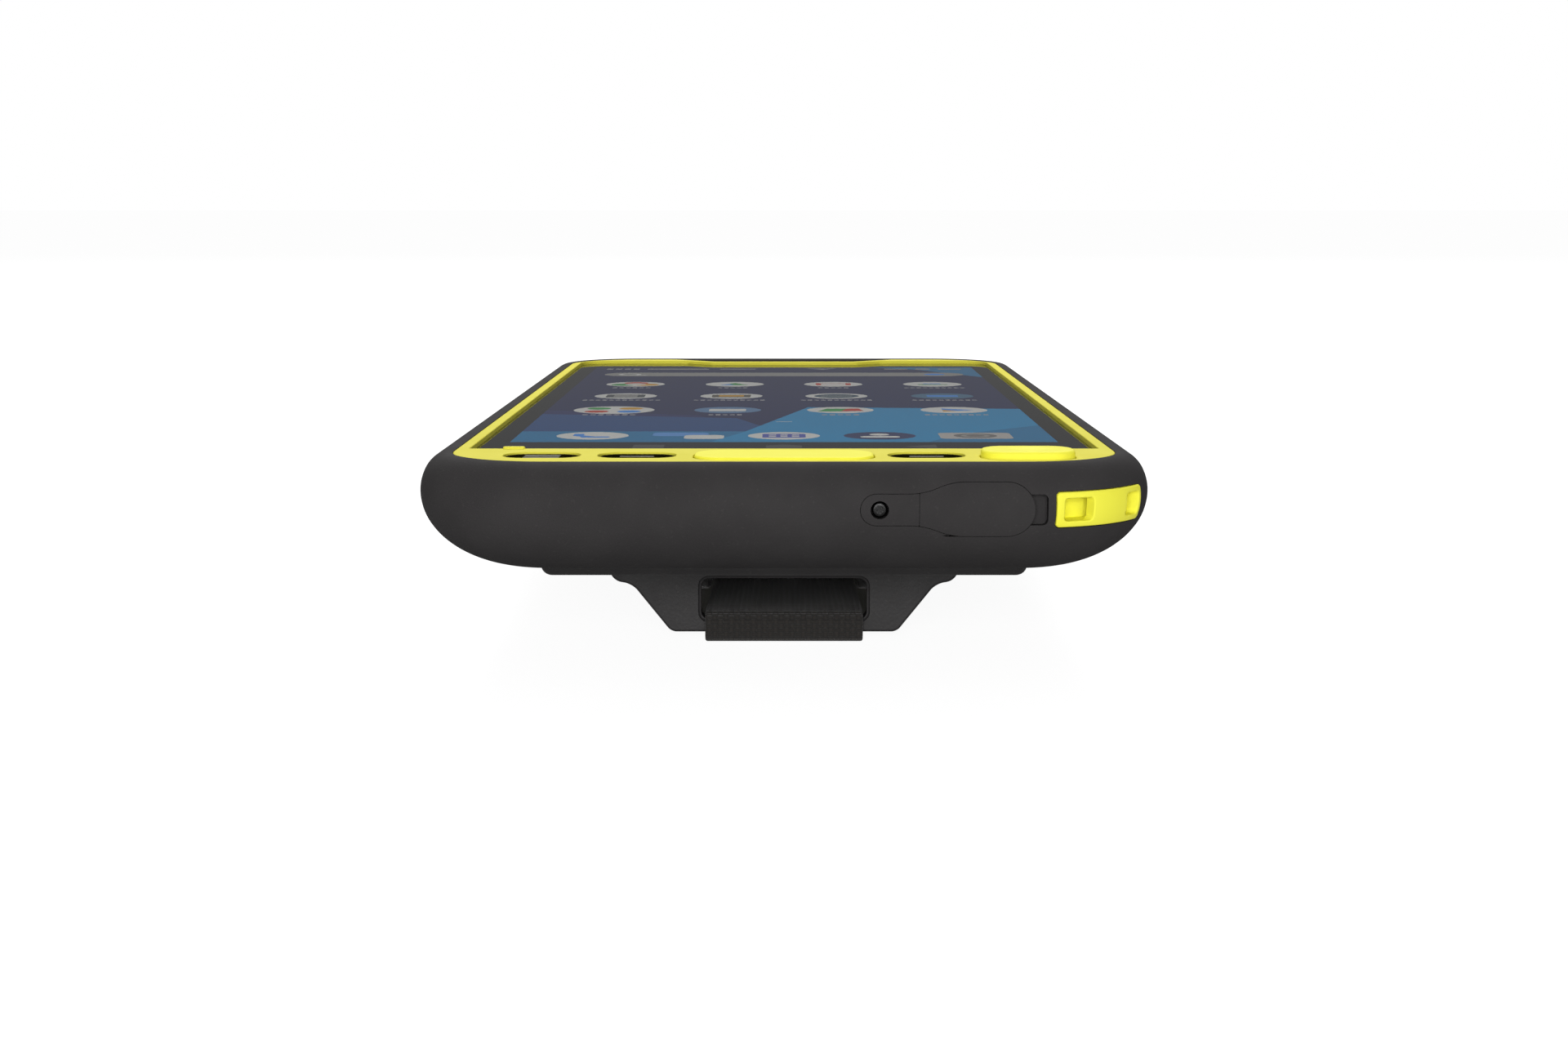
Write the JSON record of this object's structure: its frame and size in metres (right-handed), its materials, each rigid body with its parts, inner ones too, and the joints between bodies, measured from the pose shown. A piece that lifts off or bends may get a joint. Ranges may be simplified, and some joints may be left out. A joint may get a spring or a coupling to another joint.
{
  "type": "data collector",
  "caption": "Rugged handheld data collector: touch screen in a bumper case, keys under the screen and on the sides, port cover, tether anchor and hand strap.",
  "frame": {"origin": "on the surface that the strap loops rest on, under the middle of the body", "axes": "+X to the right as the user reads the screen, +Y from the keys towards the earpiece, +Z out of the screen"},
  "size_m": [0.0856, 0.1744, 0.0272],
  "materials": {
    "charcoal_rubber": "fine matt texture",
    "yellow_plastic": "satin",
    "bright_yellow_plastic": "satin",
    "dark_key_plastic": "satin",
    "charcoal_plastic": "fine moulded texture",
    "grey_mesh": "matt",
    "screen_glass": "polished",
    "display": "lit",
    "magnesium": "cast",
    "circuit_board": "solder mask",
    "bright_steel": "plain",
    "black_steel": "black oxide",
    "battery_wrap": "film",
    "seal_rubber": "foam",
    "antenna_ceramic": "fired",
    "flex_film": "film",
    "woven_black": "plain weave",
    "lens_glass": "polished"
  },
  "bodies": {
    "housing": {"back_plate": "charcoal_plastic", "battery_pack": "battery_wrap", "camera_window": "lens_glass", "case_screw_1": "black_steel", "case_screw_2": "black_steel", "case_screw_3": "black_steel", "case_screw_4": "black_steel", "charge_board": "circuit_board", "chassis": "magnesium", "cover_glass": "screen_glass", "display_panel": "display", "display_seal": "seal_rubber", "earpiece_grille": "grey_mesh", "earpiece_speaker": "bright_steel", "far_bracket": "charcoal_plastic", "far_bracket_screw_left": "black_steel", "far_bracket_screw_right": "black_steel", "flash_lens": "lens_glass", "front_bezel": "yellow_plastic", "front_camera": "lens_glass", "hand_strap": "woven_black", "key_flex": "flex_film", "link_flex": "flex_film", "loudspeaker": "black_steel", "main_board": "circuit_board", "near_bracket": "charcoal_plastic", "near_bracket_screw_left": "black_steel", "near_bracket_screw_right": "black_steel", "palm_pad": "woven_black", "port_cover_screw": "black_steel", "port_cover_tab": "charcoal_rubber", "rear_camera": "black_steel", "rear_housing": "charcoal_plastic", "rubber_bumper": "charcoal_rubber", "satellite_antenna": "antenna_ceramic", "shield_can": "bright_steel", "side_flex_left": "flex_film", "side_flex_right": "flex_film", "tether_anchor": "bright_yellow_plastic", "usb_socket": "bright_steel", "vibration_motor": "bright_steel"},
    "function_key_body": {"function_key": "dark_key_plastic"},
    "left_key_body": {"left_key": "dark_key_plastic"},
    "home_key_body": {"home_key": "bright_yellow_plastic"},
    "right_key_body": {"right_key": "dark_key_plastic"},
    "corner_key_body": {"corner_key": "bright_yellow_plastic"},
    "volume_rocker_body": {"volume_rocker": "charcoal_plastic"},
    "left_action_key_body": {"left_action_key": "charcoal_plastic"},
    "power_key_body": {"power_key": "charcoal_plastic"},
    "right_action_key_body": {"right_action_key": "charcoal_plastic"},
    "port_cover_body": {"port_cover": "charcoal_rubber"}
  },
  "joints": [
    {"name": "function_key_press", "type": "slide", "parent": "housing", "child": "function_key_body", "axis": [0, 0, -1], "range_m": [0, 0.0004], "stiffness_N_per_m": 900, "springref_m": -0.0002},
    {"name": "left_key_press", "type": "slide", "parent": "housing", "child": "left_key_body", "axis": [0, 0, -1], "range_m": [0, 0.0004], "stiffness_N_per_m": 900, "springref_m": -0.0002},
    {"name": "home_key_press", "type": "slide", "parent": "housing", "child": "home_key_body", "axis": [0, 0, -1], "range_m": [0, 0.0004], "stiffness_N_per_m": 900, "springref_m": -0.0002},
    {"name": "right_key_press", "type": "slide", "parent": "housing", "child": "right_key_body", "axis": [0, 0, -1], "range_m": [0, 0.0004], "stiffness_N_per_m": 900, "springref_m": -0.0002},
    {"name": "corner_key_press", "type": "slide", "parent": "housing", "child": "corner_key_body", "axis": [0, 0, -1], "range_m": [0, 0.0004], "stiffness_N_per_m": 900, "springref_m": -0.0002},
    {"name": "volume_rocker_tilt", "type": "hinge", "parent": "housing", "child": "volume_rocker_body", "pos_m": [-0.03995, 0.03115, 0.02165], "axis": [0, 0, 1], "range_deg": [-2, 2], "stiffness_Nm_per_rad": 0.2},
    {"name": "left_action_key_press", "type": "slide", "parent": "housing", "child": "left_action_key_body", "axis": [1, 0, 0], "range_m": [0, 0.0004], "stiffness_N_per_m": 900, "springref_m": -0.0002},
    {"name": "power_key_press", "type": "slide", "parent": "housing", "child": "power_key_body", "axis": [-1, 0, 0], "range_m": [0, 0.0004], "stiffness_N_per_m": 900, "springref_m": -0.0002},
    {"name": "right_action_key_press", "type": "slide", "parent": "housing", "child": "right_action_key_body", "axis": [-1, 0, 0], "range_m": [0, 0.0004], "stiffness_N_per_m": 900, "springref_m": -0.0002},
    {"name": "port_cover_hinge", "type": "hinge", "parent": "housing", "child": "port_cover_body", "pos_m": [0.015, -0.08715, 0.02145], "axis": [0, 0, -1], "range_deg": [0, 110]}
  ]
}
